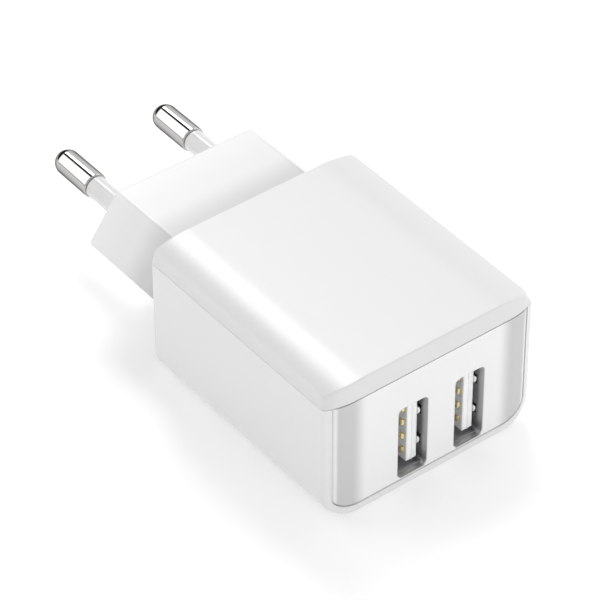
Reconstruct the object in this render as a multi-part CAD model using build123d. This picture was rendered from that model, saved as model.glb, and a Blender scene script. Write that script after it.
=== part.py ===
from build123d import *
import os

# USB wall charger with two upright USB-A ports and a fixed two-pin round plug.
# Millimetres. X runs across the port face, +Y from the ports towards the plug pins, +Z up.
# Pieces are drawn with y = 0 at the port face and moved to the part's frame when written.

# ---- outer body -------------------------------------------------------------
BODY_WIDTH = 37.0
BODY_LENGTH = 40.6
BODY_HEIGHT = 23.4
SEAM_Z = 20.7              # joint between housing and cover
CREASE_Z = 22.45           # upper edge of the cover's sloped side band
CREASE_INSET = 0.65        # how far the side band leans in
TOP_FLAT_HALF = 11.6       # half width of the flat part of the top
BOTTOM_CORNER_WIDTH = 6.0  # lower long edges, quarter ellipse
BOTTOM_CORNER_HEIGHT = 4.0
FRONT_FLAT_HALF = 13.5     # port face is flat inside this, then falls back
FRONT_SWEEP_RADIUS = 12.0
FRONT_CORNER_RADIUS = 0.6
BACK_CORNER_RADIUS = 0.8
COVER_FRONT_LEAN = 0.82    # cover's front band leans back by this over its height
WALL = 1.6

# ---- front panel ------------------------------------------------------------
PANEL_RIM = 1.25           # housing rim seen round the panel
PANEL_THICKNESS = 1.6
PANEL_GAP = 0.06
SLOT_WIDTH = 5.3
SLOT_HEIGHT = 12.9
SLOT_RADIUS = 0.9
SLOT_LIP = 0.75            # panel thickness at the slots
PORT_X = {"left": -3.5, "right": 6.6}
PORT_Z = 8.24

# ---- plug -------------------------------------------------------------------
NOSE_LENGTH = 17.2
NOSE_WIDTH = 34.8
NOSE_HEIGHT = 14.2
NOSE_TOP_HALF = 12.2
NOSE_Z = 12.4
NOSE_WALL = 1.8
SPIGOT_INSET = 2.2
FLANGE_INSET = 1.3
PIN_PITCH = 18.0
PIN_RADIUS = 2.0
PIN_LENGTH = 19.0
PIN_METAL = 9.0
PIN_STEM_RADIUS = 1.25
SLEEVE_RADIUS = 1.75
PIN_REACH = 6.0            # stem length inside the nose
TOTAL_LENGTH = BODY_LENGTH + NOSE_LENGTH + PIN_LENGTH

# ---- USB-A receptacles ------------------------------------------------------
SHELL_INNER = (5.12, 12.5)
SHELL_SHEET = 0.3
SHELL_FRONT = 0.85
SHELL_BACK = 15.1
TONGUE_THICKNESS = 1.84
TONGUE_HEIGHT = 11.1
TONGUE_FRONT = 1.35
BASE_FRONT = 9.0           # front of the insulator's base block
CONTACT_Z = (-3.825, -1.275, 1.275, 3.825)
CONTACT_WIDTH = 1.0
CONTACT_SHEET = 0.25
CONTACT_X = 0.75           # contact plane, from the port's centre
CONTACT_ROOT = 8.55        # flexing wiper starts here
GROOVE_WIDTH = 1.3
GROOVE_DEPTH = 1.1
GROOVE_FRONT = 1.95
SPRING_Z = 2.75            # retention tabs above and below the port's centre
SPRING_WIDTH = 1.5
SPRING_ROOT = 7.6
SPRING_WINDOW = (1.45, 7.65, 2.0)

# ---- boards -----------------------------------------------------------------
USB_BOARD_BACK = SHELL_BACK + 1.2
MAIN_BOARD = (31.0, 17.55, 38.5)
MAIN_BOARD_Z = 3.4
BOARD_SHEET = 1.0
DECK_Z = MAIN_BOARD_Z + BOARD_SHEET


def block(x, y, z):
    """Box from three (low, high) pairs."""
    size = [high - low for low, high in (x, y, z)]
    middle = [(high + low) / 2 for low, high in (x, y, z)]
    return Pos(*middle) * Box(*size)


def prism_y(sketch, y_low, y_high):
    """Extrude a sketch drawn as (x, z) from y_low to y_high."""
    plane = Plane(origin=(0, y_low, 0), x_dir=(1, 0, 0), z_dir=(0, -1, 0))
    return extrude(plane * sketch, amount=y_high - y_low, dir=(0, 1, 0))


def rod_y(x, z, radius, y_low, y_high):
    """Round bar along Y."""
    return prism_y(Pos(x, z) * Circle(radius), y_low, y_high)


def can(x, y, z_low, radius, height):
    """Upright can standing at z_low."""
    return Pos(x, y, z_low + height / 2) * Cylinder(radius, height)


def strip(points, sheet, z, width):
    """Bent sheet-metal strip: centre line in plan, extruded to its width about z."""
    outline = trace(Polyline(*points), line_width=sheet)
    return extrude(Pos(0, 0, z - width / 2) * outline, amount=width, dir=(0, 0, 1))


# ---- body -------------------------------------------------------------------
def body_section(inset=0.0):
    """Cross-section of the body as (x, z), moved inwards by inset."""
    half = BODY_WIDTH / 2 - inset
    top = BODY_HEIGHT - inset
    corner_width = BOTTOM_CORNER_WIDTH - inset
    corner_height = BOTTOM_CORNER_HEIGHT - inset
    crease = (half - CREASE_INSET, CREASE_Z - inset)
    shoulder = (TOP_FLAT_HALF - inset, top)
    with BuildSketch() as sketch:
        with BuildLine():
            Line((0, inset), (half - corner_width, inset))
            EllipticalCenterArc(
                (half - corner_width, inset + corner_height),
                corner_width,
                corner_height,
                start_angle=270,
                arc_size=90,
            )
            Polyline((half, inset + corner_height), (half, SEAM_Z - inset), crease)
            TangentArc(shoulder, crease, tangent=(1, 0))
            Line(shoulder, (0, top))
            mirror(about=Plane.YZ)
        make_face()
    return sketch.sketch


def body_plan(back):
    """Outline of the body from above, from the port face to back."""
    half = BODY_WIDTH / 2
    reach = half - FRONT_FLAT_HALF
    drop = FRONT_SWEEP_RADIUS - (FRONT_SWEEP_RADIUS**2 - reach**2) ** 0.5
    with BuildSketch() as sketch:
        with BuildLine():
            Line((0, 0), (FRONT_FLAT_HALF, 0))
            TangentArc((FRONT_FLAT_HALF, 0), (half, drop), tangent=(1, 0))
            Polyline((half, drop), (half, back), (0, back))
            mirror(about=Plane.YZ)
        make_face()
        corners = sketch.vertices().filter_by(lambda v: abs(abs(v.X) - half) < 0.01)
        fillet(corners.filter_by(lambda v: v.Y < back / 2), radius=FRONT_CORNER_RADIUS)
        corners = sketch.vertices().filter_by(lambda v: abs(v.Y - back) < 0.01 and abs(v.X) > 1)
        fillet(corners, radius=BACK_CORNER_RADIUS)
    return sketch.sketch


def below(z):
    """Everything under a level."""
    return block((-60, 60), (-60, 120), (-60, z))


def above(z):
    """Everything over a level."""
    return block((-60, 60), (-60, 120), (z, 60))


def body_solid():
    """Whole outer body below the seam, not yet hollow."""
    long_form = prism_y(body_section(), -1, BODY_LENGTH + 1)
    return long_form & extrude(body_plan(BODY_LENGTH), amount=BODY_HEIGHT, dir=(0, 0, 1))


def cover_solid():
    """Outer form of the cover: crowned top, side bands, front band leaning back."""
    height = BODY_HEIGHT - SEAM_Z
    lean = Vector(0, COVER_FRONT_LEAN, height)
    leaning = extrude(
        Pos(0, 0, SEAM_Z) * body_plan(BODY_LENGTH + 5), amount=lean.length, dir=tuple(lean)
    )
    return body_solid() & leaning & above(SEAM_Z)


def nose_section(inset=0.0, top_radius=1.0, side_radius=0.45):
    """Hexagonal cross-section of the plug nose as (x, z)."""
    half = NOSE_WIDTH / 2 - inset
    flat = NOSE_TOP_HALF - inset * 0.45
    rise = NOSE_HEIGHT / 2 - inset
    corners = [(half, 0), (flat, rise), (-flat, rise), (-half, 0), (-flat, -rise), (flat, -rise)]
    face = make_face(Polyline(*corners, close=True))
    tops = face.vertices().filter_by(lambda v: abs(v.Y) > 0.01)
    face = fillet(tops, radius=top_radius)
    sides = face.vertices().filter_by(lambda v: abs(abs(v.X) - half) < 0.01)
    return Pos(0, NOSE_Z) * fillet(sides, radius=side_radius)


def make_top_cover():
    """Lid: solid form, hollowed, with a locating lip that drops inside the housing."""
    cover = cover_solid()
    lip_x = BODY_WIDTH / 2 - WALL - 0.1
    lip_y = (PANEL_THICKNESS + 0.1, BODY_LENGTH - WALL - 0.1)
    lip = block((-lip_x, lip_x), lip_y, (SEAM_Z - 1.2, SEAM_Z + 0.4))
    cavity_x = lip_x - 0.8
    cavity_y = (lip_y[0] + 0.8, lip_y[1] - 0.8)
    cavity = block((-cavity_x, cavity_x), cavity_y, (SEAM_Z - 2, BODY_HEIGHT - WALL))
    return cover + lip - cavity


def make_bottom_housing():
    """Tub with a rim for the front panel, board posts, board ribs and the plug opening."""
    housing = body_solid() & below(SEAM_Z)
    housing -= prism_y(body_section(WALL), PANEL_THICKNESS, BODY_LENGTH - WALL) & below(SEAM_Z - WALL)
    half = BODY_WIDTH / 2 - WALL
    housing -= block((-half, half), (PANEL_THICKNESS, BODY_LENGTH - WALL), (10, SEAM_Z + 1))
    housing -= prism_y(body_section(PANEL_RIM), -1, PANEL_THICKNESS)
    rim = BODY_WIDTH / 2 - PANEL_RIM
    housing -= block((-rim, rim), (-1, PANEL_THICKNESS), (10, SEAM_Z + 1))
    housing -= prism_y(nose_section(SPIGOT_INSET - 0.08), BODY_LENGTH - WALL - 1, BODY_LENGTH + 1)
    for x in (-13.0, 13.0):
        for y in (22.0, 36.0):
            housing += can(x, y, WALL - 0.3, 1.4, MAIN_BOARD_Z - WALL + 0.3)
    for side in (-1, 1):
        wall = sorted((side * (half + 0.3), side * (half - 1.5)))
        for y in ((SHELL_BACK - 1.1, SHELL_BACK - 0.1), (USB_BOARD_BACK + 0.1, USB_BOARD_BACK + 0.9)):
            housing += block(wall, y, (3.2, 18.5))
    return housing


def make_front_panel():
    """Insert with the two port slots, thinned behind each slot to seat the shell."""
    panel = prism_y(body_section(PANEL_RIM + PANEL_GAP), 0, PANEL_THICKNESS)
    side = BODY_WIDTH / 2 - PANEL_RIM - PANEL_GAP
    panel += block((-side, side), (0, PANEL_THICKNESS), (10, SEAM_Z - PANEL_GAP))
    panel = panel & body_solid() & below(SEAM_Z - PANEL_GAP)
    pocket = (SHELL_INNER[0] + 0.8, SHELL_INNER[1] + 0.8)
    for x in PORT_X.values():
        slot = Pos(x, PORT_Z) * RectangleRounded(SLOT_WIDTH, SLOT_HEIGHT, SLOT_RADIUS)
        panel -= prism_y(slot, -1, PANEL_THICKNESS + 1)
        seat = Pos(x, PORT_Z) * RectangleRounded(*pocket, 1.0)
        panel -= prism_y(seat, SLOT_LIP, PANEL_THICKNESS + 1)
    return panel


# ---- plug -------------------------------------------------------------------
def pin_x(side):
    """Pin position for "left" or "right"."""
    return -PIN_PITCH / 2 if side == "left" else PIN_PITCH / 2


def make_plug_nose():
    """Hollow hexagonal nose with a spigot and catch flange behind the housing's back wall."""
    end = BODY_LENGTH + NOSE_LENGTH
    catch_back = BODY_LENGTH - WALL - 0.08
    outer = prism_y(nose_section(), BODY_LENGTH, end)
    end_edges = outer.edges().filter_by(lambda e: abs(e.center().Y - end) < 0.01)
    nose = fillet(end_edges, radius=0.6)
    nose += prism_y(nose_section(SPIGOT_INSET), catch_back - 1.2, BODY_LENGTH + 0.5)
    nose += prism_y(nose_section(FLANGE_INSET), catch_back - 1.2, catch_back)
    nose -= prism_y(nose_section(SPIGOT_INSET + 1.4), catch_back - 2, BODY_LENGTH + 1.6)
    nose -= prism_y(nose_section(NOSE_WALL, 0.6, 0.3), BODY_LENGTH + 1.4, end - 2.0)
    for side in PORT_X:
        nose -= rod_y(pin_x(side), NOSE_Z, SLEEVE_RADIUS + 0.05, end - 3, end + 1)
    return nose


def make_pin(side):
    """Plated pin: domed head, thinner stem through the sleeve into the nose."""
    x = pin_x(side)
    tip = TOTAL_LENGTH
    shoulder = tip - PIN_METAL
    head = rod_y(x, NOSE_Z, PIN_RADIUS, shoulder, tip - PIN_RADIUS)
    head += Pos(x, tip - PIN_RADIUS, NOSE_Z) * Sphere(PIN_RADIUS)
    stem_end = BODY_LENGTH + NOSE_LENGTH - PIN_REACH
    return head + rod_y(x, NOSE_Z, PIN_STEM_RADIUS, stem_end, shoulder + 0.5)


def make_pin_sleeve(side):
    """Insulating sleeve with a collar against the inside of the nose's end wall."""
    x = pin_x(side)
    wall_inside = BODY_LENGTH + NOSE_LENGTH - 2.0
    shoulder = TOTAL_LENGTH - PIN_METAL
    sleeve = rod_y(x, NOSE_Z, SLEEVE_RADIUS, wall_inside - 1, shoulder)
    sleeve += rod_y(x, NOSE_Z, SLEEVE_RADIUS + 1.0, wall_inside - 1, wall_inside)
    return sleeve - rod_y(x, NOSE_Z, PIN_STEM_RADIUS + 0.05, wall_inside - 2, shoulder + 1)


def make_pin_lead(side):
    """Clip on the pin's stem, strip through the nose and leg down into the power board."""
    x = pin_x(side)
    clip_back = BODY_LENGTH + NOSE_LENGTH - 3.6
    clip = rod_y(x, NOSE_Z, PIN_STEM_RADIUS + 0.6, clip_back - 2.2, clip_back)
    lead = clip + block((x - 1.2, x + 1.2), (36.6, clip_back), (NOSE_Z - 2.1, NOSE_Z - 1.6))
    lead += block((x - 1.2, x + 1.2), (36.6, 37.1), (DECK_Z + 0.3, NOSE_Z - 1.6))
    lead += block((x - 0.5, x + 0.5), (36.6, 37.1), (MAIN_BOARD_Z - 1.0, DECK_Z + 0.5))
    return lead - rod_y(x, NOSE_Z, PIN_STEM_RADIUS + 0.02, clip_back - 3, clip_back + 1)


# ---- USB receptacles --------------------------------------------------------
def make_usb_shell(x):
    """Folded metal shell with windows for its retention tabs and legs to the board."""
    outer = (SHELL_INNER[0] + 2 * SHELL_SHEET, SHELL_INNER[1] + 2 * SHELL_SHEET)
    shell = prism_y(Pos(x, PORT_Z) * RectangleRounded(*outer, 0.85), SHELL_FRONT, SHELL_BACK)
    hollow = Pos(x, PORT_Z) * RectangleRounded(*SHELL_INNER, 0.55)
    shell -= prism_y(hollow, SHELL_FRONT - 1, SHELL_BACK + 1)
    wall_x = SHELL_INNER[0] / 2 + SHELL_SHEET / 2
    for side in (-1, 1):
        for z in (-SPRING_Z, SPRING_Z):
            window_z = (PORT_Z + z - SPRING_WINDOW[2] / 2, PORT_Z + z + SPRING_WINDOW[2] / 2)
            window_x = (x + side * wall_x - 0.5, x + side * wall_x + 0.5)
            shell -= block(window_x, SPRING_WINDOW[:2], window_z)
        leg_x = (x + side * wall_x - SHELL_SHEET / 2, x + side * wall_x + SHELL_SHEET / 2)
        shell += block(leg_x, (SHELL_BACK - 0.5, SHELL_BACK + 2.4), (PORT_Z - 1.1, PORT_Z + 1.1))
    return shell


def make_shell_springs(x, side):
    """The two sprung tabs in one wide wall; side is -1 or +1 along X."""
    wall_x = SHELL_INNER[0] / 2 + SHELL_SHEET / 2
    line = [(wall_x, SPRING_ROOT), (wall_x - 0.08, 6.8), (wall_x - 0.42, 4.0),
            (wall_x - 0.5, 3.3), (wall_x - 0.45, 2.7), (wall_x - 0.2, 1.75)]
    points = [(x + side * px, py) for px, py in line]
    tabs = [strip(points, CONTACT_SHEET, PORT_Z + z, SPRING_WIDTH) for z in (-SPRING_Z, SPRING_Z)]
    return Compound([tab.solid() for tab in tabs])


def make_usb_tongue(x):
    """Insulator: tongue with contact grooves, and the base block that fills the shell."""
    tongue = block(
        (x, x + TONGUE_THICKNESS),
        (TONGUE_FRONT, BASE_FRONT + 1),
        (PORT_Z - TONGUE_HEIGHT / 2, PORT_Z + TONGUE_HEIGHT / 2),
    )
    front = tongue.edges().filter_by(lambda e: e.center().Y < TONGUE_FRONT + 0.01)
    tongue = chamfer(front, 0.22)
    base_size = (SHELL_INNER[0] - 0.1, SHELL_INNER[1] - 0.1)
    base = Pos(x, PORT_Z) * RectangleRounded(*base_size, 0.5)
    tongue += prism_y(base, BASE_FRONT, SHELL_BACK)
    for z in CONTACT_Z:
        groove_z = (PORT_Z + z - GROOVE_WIDTH / 2, PORT_Z + z + GROOVE_WIDTH / 2)
        tongue -= block((x - 0.1, x + GROOVE_DEPTH), (GROOVE_FRONT, BASE_FRONT), groove_z)
        hole_x = (x + CONTACT_X - 0.2, x + CONTACT_X + 0.2)
        hole_z = (PORT_Z + z - 0.58, PORT_Z + z + 0.58)
        tongue -= block(hole_x, (BASE_FRONT - 0.1, SHELL_BACK + 1), hole_z)
    return tongue


def make_usb_contacts(x):
    """Four flexing wipers that bow out of the tongue's grooves."""
    line = [(CONTACT_X, CONTACT_ROOT), (CONTACT_X - 0.15, 7.6), (-0.25, 4.4),
            (-0.42, 3.7), (-0.4, 3.2), (-0.15, 2.6), (0.28, 2.25)]
    points = [(x + px, py) for px, py in line]
    wipers = [strip(points, CONTACT_SHEET, PORT_Z + z, CONTACT_WIDTH) for z in CONTACT_Z]
    return Compound([wiper.solid() for wiper in wipers])


def make_usb_tails(x):
    """Four fixed tails through the base block and the upright board."""
    tails = []
    for z in CONTACT_Z:
        tails.append(block(
            (x + CONTACT_X - CONTACT_SHEET / 2, x + CONTACT_X + CONTACT_SHEET / 2),
            (CONTACT_ROOT + 0.05, USB_BOARD_BACK + 1.2),
            (PORT_Z + z - CONTACT_WIDTH / 2, PORT_Z + z + CONTACT_WIDTH / 2),
        ))
    return Compound([tail.solid() for tail in tails])


# ---- boards and parts on them -----------------------------------------------
HEADER_X = [-14.0 + 2.0 * i for i in range(4)]
HEADER_Z = 5.4


def make_usb_board():
    """Upright board behind the receptacles, drilled for their tails and legs."""
    board = block((-16.5, 16.5), (SHELL_BACK, USB_BOARD_BACK), (4.6, 19.3))
    board += block((-11.5, 11.5), (SHELL_BACK, USB_BOARD_BACK), (2.0, 5.0))
    wall_x = SHELL_INNER[0] / 2 + SHELL_SHEET / 2
    through = (SHELL_BACK - 1, USB_BOARD_BACK + 1)
    for x in PORT_X.values():
        for z in CONTACT_Z:
            board -= block((x + 0.4, x + 1.1), through, (PORT_Z + z - 0.65, PORT_Z + z + 0.65))
        for side in (-1, 1):
            leg = x + side * wall_x
            board -= block((leg - 0.3, leg + 0.3), through, (PORT_Z - 1.3, PORT_Z + 1.3))
    for x in HEADER_X:
        board -= rod_y(x, HEADER_Z, 0.5, *through)
    return board


def make_main_board():
    """Power board on the housing's posts, slotted for the mains leads."""
    width, front, back = MAIN_BOARD
    board = block((-width / 2, width / 2), (front, back), (MAIN_BOARD_Z, DECK_Z))
    for side in PORT_X:
        x = pin_x(side)
        board -= block((x - 0.7, x + 0.7), (36.4, 37.3), (MAIN_BOARD_Z - 1, DECK_Z + 1))
    for x, y in transformer_pin_places():
        board -= can(x, y, MAIN_BOARD_Z - 1, 0.5, 3)
    for x in HEADER_X:
        board -= can(x, 18.4, MAIN_BOARD_Z - 1, 0.5, 3)
    return board


def make_header_block():
    """Plastic strip of the board-to-board header."""
    header = block((-15.2, -6.8), (17.5, 19.2), (DECK_Z, DECK_Z + 2.0))
    for x in HEADER_X:
        header -= block((x - 0.36, x + 0.36), (17, 18.8), (HEADER_Z - 0.36, HEADER_Z + 0.36))
        header -= block((x - 0.36, x + 0.36), (18.04, 18.76), (DECK_Z - 1, HEADER_Z + 0.36))
    return header


def make_header_pins():
    """Bent header pins: through the upright board, then down through the power board."""
    pins = []
    for x in HEADER_X:
        pin = block((x - 0.3, x + 0.3), (14.4, 18.7), (HEADER_Z - 0.3, HEADER_Z + 0.3))
        pin += block((x - 0.3, x + 0.3), (18.1, 18.7), (MAIN_BOARD_Z - 1.0, HEADER_Z + 0.3))
        pins.append(pin.solid())
    return Compound(pins)


CORE_Y = 27.4
CORE_HALF_WIDTH = 8.0
CORE_HALF_DEPTH = 2.4
CORE_Z = (5.4, 18.4)
YOKE = 2.3
CENTRE_LEG = 2.0
WINDOW_HALF = 6.0


def transformer_pin_places():
    """Plan positions of the bobbin's solder pins."""
    return [(x, CORE_Y + y) for x in (-4.5, -1.5, 1.5, 4.5) for y in (-6.5, 6.5)]


def make_transformer_core():
    """Ferrite core: two E halves closed on a centre leg."""
    depth = (CORE_Y - CORE_HALF_DEPTH, CORE_Y + CORE_HALF_DEPTH)
    core = block((-CORE_HALF_WIDTH, CORE_HALF_WIDTH), depth, CORE_Z)
    for side in (-1, 1):
        window = sorted((side * CENTRE_LEG, side * WINDOW_HALF))
        core -= block(window, (0, 60), (CORE_Z[0] + YOKE, CORE_Z[1] - YOKE))
    return core


def make_transformer_bobbin():
    """Bobbin: tube on the centre leg, two flanges and two rails down to the board."""
    low = CORE_Z[0] + YOKE + 0.1
    high = CORE_Z[1] - YOKE - 0.1
    flange_x = (-WINDOW_HALF + 0.1, WINDOW_HALF - 0.1)
    flange_y = (CORE_Y - 7.4, CORE_Y + 7.4)
    bobbin = block((-2.9, 2.9), (CORE_Y - 3.3, CORE_Y + 3.3), (low, high))
    bobbin += block(flange_x, flange_y, (low, low + 0.8))
    bobbin += block(flange_x, (CORE_Y - 6.4, CORE_Y + 6.4), (high - 0.8, high))
    for side in (-1, 1):
        rail = sorted((CORE_Y + side * 5.6, CORE_Y + side * 7.4))
        bobbin += block(flange_x, rail, (DECK_Z, low + 0.4))
    leg_y = (CORE_Y - CORE_HALF_DEPTH - 0.05, CORE_Y + CORE_HALF_DEPTH + 0.05)
    bobbin -= block((-CENTRE_LEG - 0.05, CENTRE_LEG + 0.05), leg_y, (0, 30))
    for x, y in transformer_pin_places():
        bobbin -= can(x, y, DECK_Z - 1, 0.38, 3.0)
    return bobbin


def make_transformer_winding():
    """Taped winding round the bobbin's tube."""
    low = CORE_Z[0] + YOKE + 0.95
    high = CORE_Z[1] - YOKE - 0.95
    outline = Pos(0, CORE_Y) * RectangleRounded(11.2, 12.0, 2.0)
    hole = Pos(0, CORE_Y) * Rectangle(5.9, 6.7)
    return extrude(Pos(0, 0, low) * (outline - hole), amount=high - low, dir=(0, 0, 1))


def make_transformer_pins():
    """Solder pins under the bobbin."""
    pins = [can(x, y, MAIN_BOARD_Z - 1.0, 0.35, 3.6) for x, y in transformer_pin_places()]
    return Compound([pin.solid() for pin in pins])


def make_can_capacitors(places, radius, height):
    """Group of equal electrolytic cans, each with a crimp groove near its foot."""
    body = can(0, 0, 0, radius, height)
    body = fillet(body.edges().group_by(Axis.Z)[-1], radius=0.5)
    body -= can(0, 0, 1.4, radius + 1, 0.5) - can(0, 0, 1.4, radius - 0.3, 0.5)
    return Compound([(place * body).solid() for place in places])


def input_capacitor_places():
    """The bulk cans stand on the power board."""
    return [Pos(-12.3, y, DECK_Z) for y in (24.2, 32.2)]


def output_capacitor_places():
    """The smoothing cans lie forward from the upright board, beside the ports."""
    return [Pos(x, SHELL_BACK, z) * Rot(90, 0, 0) for x, z in ((-10.2, 8.4), (-10.2, 14.0), (12.4, 8.0))]


def make_fuse_resistor():
    """Fusible resistor lying on the board between the mains leads."""
    y, z = 36.2, DECK_Z + 1.6
    body = Pos(0, y, z) * Rot(0, 90, 0) * Cylinder(1.1, 8.0)
    for side in (-1, 1):
        body += Pos(side * 3.3, y, z) * Rot(0, 90, 0) * Cylinder(1.3, 1.6)
        body += block(sorted((side * 3.9, side * 5.2)), (y - 0.25, y + 0.25), (z - 0.25, z + 0.25))
        body += block(sorted((side * 4.7, side * 5.2)), (y - 0.25, y + 0.25), (DECK_Z, z + 0.25))
    return body


def make_input_choke():
    """Drum choke: two flanges on a thinner wound waist."""
    choke = can(12.2, 28.8, DECK_Z, 3.6, 1.2)
    choke += can(12.2, 28.8, DECK_Z, 3.1, 9.0)
    return choke + can(12.2, 28.8, DECK_Z + 7.8, 3.6, 1.2)


def make_y_capacitor():
    """Ceramic disc standing on two leads."""
    disc = Pos(12.4, 24.2, DECK_Z + 6.2) * Rot(90, 0, 0) * Cylinder(3.4, 1.8)
    disc = fillet(disc.edges(), radius=0.7)
    for x in (10.4, 14.4):
        disc += block((x - 0.25, x + 0.25), (23.95, 24.45), (DECK_Z, DECK_Z + 5.5))
    return disc


def make_chip_group(places, size, z_low):
    """Group of equal surface-mount bodies with their lower face at z_low."""
    width, length, height = size
    chips = []
    for x, y in places:
        chips.append(block(
            (x - width / 2, x + width / 2),
            (y - length / 2, y + length / 2),
            (z_low, z_low + height),
        ).solid())
    return Compound(chips)


def make_port_controllers():
    """Charging-port controllers on the back of the upright board."""
    chips = []
    for x in PORT_X.values():
        chips.append(block(
            (x - 1.5, x + 1.5), (USB_BOARD_BACK, USB_BOARD_BACK + 1.1), (15.2, 18.0)
        ).solid())
    return Compound(chips)


def make_insulation_sheet():
    """Barrier sheet between the mains parts and the USB parts."""
    return block((-15.0, 15.0), (19.55, 19.9), (DECK_Z, 19.2))


# ---- all nodes --------------------------------------------------------------
nodes = {
    "top_cover": make_top_cover(),
    "bottom_housing": make_bottom_housing(),
    "front_panel": make_front_panel(),
    "plug_nose": make_plug_nose(),
    "usb_board": make_usb_board(),
    "main_board": make_main_board(),
    "header_block": make_header_block(),
    "header_pins": make_header_pins(),
    "transformer_core": make_transformer_core(),
    "transformer_bobbin": make_transformer_bobbin(),
    "transformer_winding": make_transformer_winding(),
    "transformer_pins": make_transformer_pins(),
    "input_capacitors": make_can_capacitors(input_capacitor_places(), 3.7, 12.0),
    "output_capacitors": make_can_capacitors(output_capacitor_places(), 2.5, 7.5),
    "fuse_resistor": make_fuse_resistor(),
    "input_choke": make_input_choke(),
    "y_capacitor": make_y_capacitor(),
    "bridge_rectifier": make_chip_group([(13.0, 35.3)], (4.0, 5.0, 2.4), DECK_Z),
    "controller_ic": make_chip_group([(-6.0, 31.0)], (3.9, 4.9, 1.4), MAIN_BOARD_Z - 1.4),
    "rectifier_diode": make_chip_group([(7.0, 22.6)], (4.3, 3.6, 1.4), MAIN_BOARD_Z - 1.4),
    "port_controllers": make_port_controllers(),
    "insulation_sheet": make_insulation_sheet(),
}
for side, x in PORT_X.items():
    nodes[f"pin_{side}"] = make_pin(side)
    nodes[f"pin_sleeve_{side}"] = make_pin_sleeve(side)
    nodes[f"pin_lead_{side}"] = make_pin_lead(side)
    nodes[f"usb_shell_{side}"] = make_usb_shell(x)
    nodes[f"usb_tongue_{side}"] = make_usb_tongue(x)
    nodes[f"usb_contacts_{side}"] = make_usb_contacts(x)
    nodes[f"usb_tails_{side}"] = make_usb_tails(x)
    nodes[f"shell_springs_{side}_a"] = make_shell_springs(x, -1)
    nodes[f"shell_springs_{side}_b"] = make_shell_springs(x, 1)

os.makedirs("parts", exist_ok=True)
for name, shape in nodes.items():
    export_step(Pos(0, -TOTAL_LENGTH / 2, 0) * shape, f"parts/{name}.step")
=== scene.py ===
import logging
import math
from collections import Counter
from dataclasses import dataclass, field
from enum import Enum
from typing import Callable, Iterable

import bmesh
import bpy
from mathutils import Matrix, Vector


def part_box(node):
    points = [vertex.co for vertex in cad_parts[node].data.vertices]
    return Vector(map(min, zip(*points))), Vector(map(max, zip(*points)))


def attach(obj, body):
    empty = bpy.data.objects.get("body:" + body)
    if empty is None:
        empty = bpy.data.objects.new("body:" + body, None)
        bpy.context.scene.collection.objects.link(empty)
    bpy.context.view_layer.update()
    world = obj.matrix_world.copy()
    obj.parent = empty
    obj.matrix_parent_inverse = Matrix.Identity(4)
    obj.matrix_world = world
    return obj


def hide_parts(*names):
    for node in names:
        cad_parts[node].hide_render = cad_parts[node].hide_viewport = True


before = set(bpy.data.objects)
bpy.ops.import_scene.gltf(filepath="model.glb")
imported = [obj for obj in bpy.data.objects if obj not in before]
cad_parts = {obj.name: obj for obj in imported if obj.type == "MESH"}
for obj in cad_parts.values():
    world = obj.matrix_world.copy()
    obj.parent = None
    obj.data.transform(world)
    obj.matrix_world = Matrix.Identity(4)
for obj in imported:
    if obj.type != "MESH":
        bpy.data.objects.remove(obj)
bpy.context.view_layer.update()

logging.basicConfig(level=logging.INFO, format="%(message)s")
log = logging.getLogger("charger")

Point2 = tuple[float, float]
Point3 = tuple[float, float, float]
Colour = tuple[float, float, float, float]
Tree = bpy.types.NodeTree
Socket = bpy.types.NodeSocket
Piece = bpy.types.Object
Mesh = bmesh.types.BMesh
Face = bmesh.types.BMFace
Edges = list[bmesh.types.BMEdge]

MM = 0.001
CHARGER = "charger"
STATION = "station"
FRONT_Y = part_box("bottom_housing")[0].y / MM
TOTAL_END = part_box("pin_left")[1].y / MM
PIN_HALF_PITCH = 9.0
PIN_RADIUS = 2.0
LEAST_ROUND = 0.03   # smallest corner left when an outline moves inwards
CORNER_STEPS = 14    # chords in each lower corner of the body
NEAR = 1e-4          # vertices closer than this are one
GLOSS_TO_TONE = 3    # gloss changes over shorter distances than tone
FLAT_WEIGHT = 60


class Axis(Enum):
    """Frame axes used to name directions."""

    X = (1.0, 0.0, 0.0)
    Y = (0.0, 1.0, 0.0)
    Z = (0.0, 0.0, 1.0)


class Side(Enum):
    """The two ports and pins, by where they sit seen from the port face."""

    LEFT = "left"
    RIGHT = "right"


# ---- Shader nodes -----------------------------------------------------------
def maths(tree: Tree, operation: str, *values: float | Socket) -> Socket:
    """Add a Math node fed by numbers or sockets.

    Args:
        tree: Nodes that it joins.
        operation: What it works out.
        values: Its inputs in order.

    Returns:
        Its output.
    """
    node = tree.nodes.new("ShaderNodeMath")
    node.operation = operation
    for socket, value in zip(node.inputs, values):
        if isinstance(value, Socket):
            tree.links.new(value, socket)
        else:
            socket.default_value = value
    return node.outputs["Value"]


def dot(tree: Tree, way: Socket, fixed: Point3) -> Socket:
    """Add the dot product of a vector with a fixed one.

    Args:
        tree: Nodes that it joins.
        way: The changing vector.
        fixed: The fixed vector.

    Returns:
        Its output.
    """
    node = tree.nodes.new("ShaderNodeVectorMath")
    node.operation = "DOT_PRODUCT"
    node.inputs[1].default_value = fixed
    tree.links.new(way, node.inputs[0])
    return node.outputs["Value"]


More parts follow.
